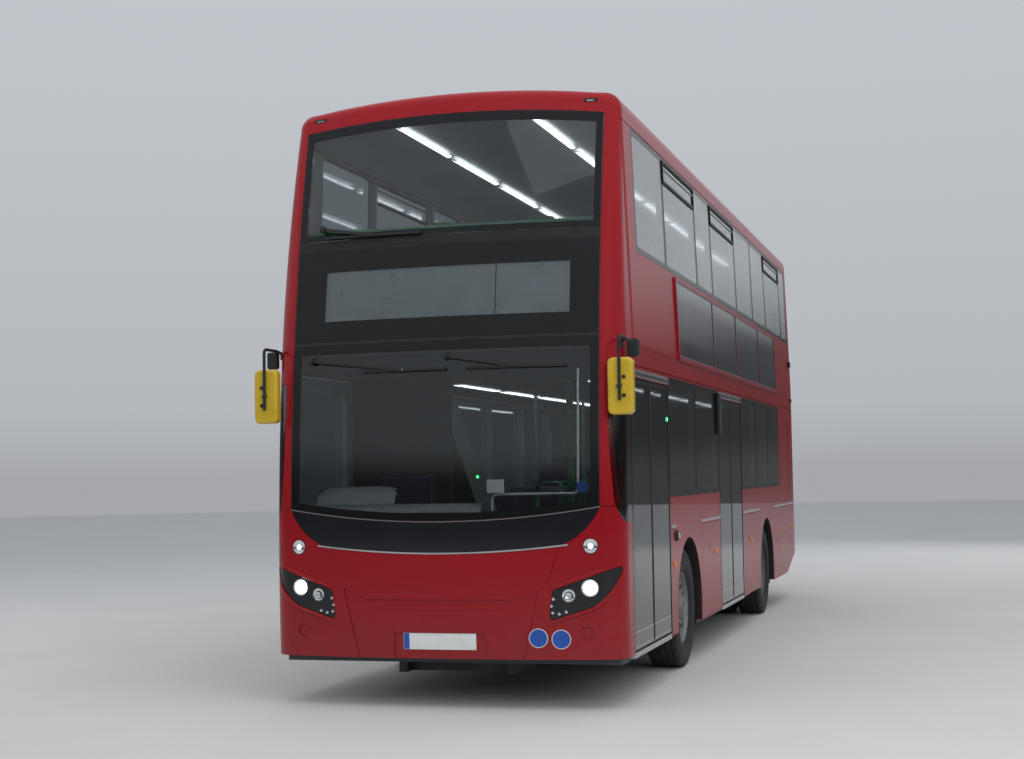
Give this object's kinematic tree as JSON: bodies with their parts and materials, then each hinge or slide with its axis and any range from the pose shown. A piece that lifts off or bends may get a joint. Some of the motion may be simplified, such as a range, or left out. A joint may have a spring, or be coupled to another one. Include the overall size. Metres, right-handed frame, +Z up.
{
  "type": "double decker bus",
  "caption": "Low-floor double decker city bus with folding-leaf doors on its nearside, glazed bowed front, twin rear wheels, a staircase and seats on both decks.",
  "frame": {"origin": "on the ground under the middle of the body", "axes": "+Z up, +Y towards the rear along the body's length, +X towards the nearside with its doors"},
  "size_m": [2.744, 10.5038, 4.34],
  "materials": {
    "body_red": "gloss",
    "black_gloss": "gloss",
    "clear_glass": "tinted",
    "tyre": "matt",
    "wheel_steel": "satin",
    "dark_metal": "satin",
    "bright_metal": "satin",
    "board": "satin",
    "black_plastic": "grained",
    "grey_plastic": "grained",
    "pale_trim": "grained",
    "floor": "matt",
    "moquette": "woven",
    "mirror_yellow": "gloss",
    "lamp": "clear",
    "lamp_red": "clear",
    "rail_green": "gloss",
    "cast": "rough"
  },
  "bodies": {
    "body": {"advert_frames": "board", "axles": "cast", "cab_wall": "grey_plastic", "chassis_cross_members": "dark_metal", "chassis_rails": "dark_metal", "dashboard": "grey_plastic", "destination_box": "black_plastic", "door_headers": "bright_metal", "driver_seat": "moquette", "engine_block": "cast", "front_black_panel": "black_gloss", "front_bulkhead": "black_gloss", "front_glass": "clear_glass", "front_lamps": "lamp", "front_mask": "body_red", "front_surround": "body_red", "handrails": "rail_green", "lower_floor": "floor", "lower_side_nearside": "body_red", "lower_side_offside": "body_red", "mirror_arms": "black_plastic", "mirror_shells": "mirror_yellow", "rear_glass": "clear_glass", "rear_lamps": "lamp_red", "rear_panel": "body_red", "roof": "body_red", "seats_lower": "moquette", "seats_upper": "moquette", "side_glass_lower": "clear_glass", "side_glass_upper": "clear_glass", "staircase": "pale_trim", "steering_wheel": "black_plastic", "upper_floor": "floor", "upper_side_nearside": "body_red", "upper_side_offside": "body_red", "wheel_housings": "black_plastic", "wipers": "black_plastic"},
    "front_door_fore": {"front_door_fore": "body_red", "front_door_fore_glass": "clear_glass"},
    "front_door_aft": {"front_door_aft": "body_red", "front_door_aft_glass": "clear_glass"},
    "exit_door_fore": {"exit_door_fore": "body_red", "exit_door_fore_glass": "clear_glass"},
    "exit_door_aft": {"exit_door_aft": "body_red", "exit_door_aft_glass": "clear_glass"},
    "engine_cover": {"engine_cover": "body_red"},
    "knuckle_nearside": {"knuckle_nearside": "cast"},
    "knuckle_offside": {"knuckle_offside": "cast"},
    "wheel_front_nearside": {"tyre_front_nearside": "tyre", "rim_front_nearside": "wheel_steel"},
    "wheel_front_offside": {"tyre_front_offside": "tyre", "rim_front_offside": "wheel_steel"},
    "wheel_rear_nearside": {"tyre_rear_nearside": "tyre", "rim_rear_nearside": "wheel_steel"},
    "wheel_rear_offside": {"tyre_rear_offside": "tyre", "rim_rear_offside": "wheel_steel"}
  },
  "joints": [
    {"name": "front_door_fore_swing", "type": "hinge", "parent": "body", "child": "front_door_fore", "pos_m": [1.254, -4.8, 1.3], "axis": [0, 0, 1], "range_deg": [0, 90]},
    {"name": "front_door_aft_swing", "type": "hinge", "parent": "body", "child": "front_door_aft", "pos_m": [1.254, -3.464, 1.3], "axis": [0, 0, -1], "range_deg": [0, 90]},
    {"name": "exit_door_fore_swing", "type": "hinge", "parent": "body", "child": "exit_door_fore", "pos_m": [1.254, -0.876, 1.3], "axis": [0, 0, 1], "range_deg": [0, 90]},
    {"name": "exit_door_aft_swing", "type": "hinge", "parent": "body", "child": "exit_door_aft", "pos_m": [1.254, 0.496, 1.3], "axis": [0, 0, -1], "range_deg": [0, 90]},
    {"name": "engine_cover_lift", "type": "hinge", "parent": "body", "child": "engine_cover", "pos_m": [0, 5.244, 1.76], "axis": [1, 0, 0], "range_deg": [0, 85]},
    {"name": "steer_nearside", "type": "hinge", "parent": "body", "child": "knuckle_nearside", "pos_m": [0.93, -2.6, 0.438], "axis": [0, 0, 1], "range_deg": [-38, 38]},
    {"name": "spin_front_nearside", "type": "hinge", "parent": "knuckle_nearside", "child": "wheel_front_nearside", "pos_m": [1.098, -2.6, 0.478], "axis": [1, 0, 0], "continuous": true},
    {"name": "spin_rear_nearside", "type": "hinge", "parent": "body", "child": "wheel_rear_nearside", "pos_m": [0.94, 2.4, 0.478], "axis": [1, 0, 0], "continuous": true},
    {"name": "steer_offside", "type": "hinge", "parent": "body", "child": "knuckle_offside", "pos_m": [-0.93, -2.6, 0.438], "axis": [0, 0, 1], "range_deg": [-38, 38]},
    {"name": "spin_front_offside", "type": "hinge", "parent": "knuckle_offside", "child": "wheel_front_offside", "pos_m": [-1.098, -2.6, 0.478], "axis": [1, 0, 0], "continuous": true},
    {"name": "spin_rear_offside", "type": "hinge", "parent": "body", "child": "wheel_rear_offside", "pos_m": [-0.94, 2.4, 0.478], "axis": [1, 0, 0], "continuous": true}
  ],
  "couplings": [
    {"joint": "steer_offside", "follows": "steer_nearside", "ratio": 1}
  ]
}
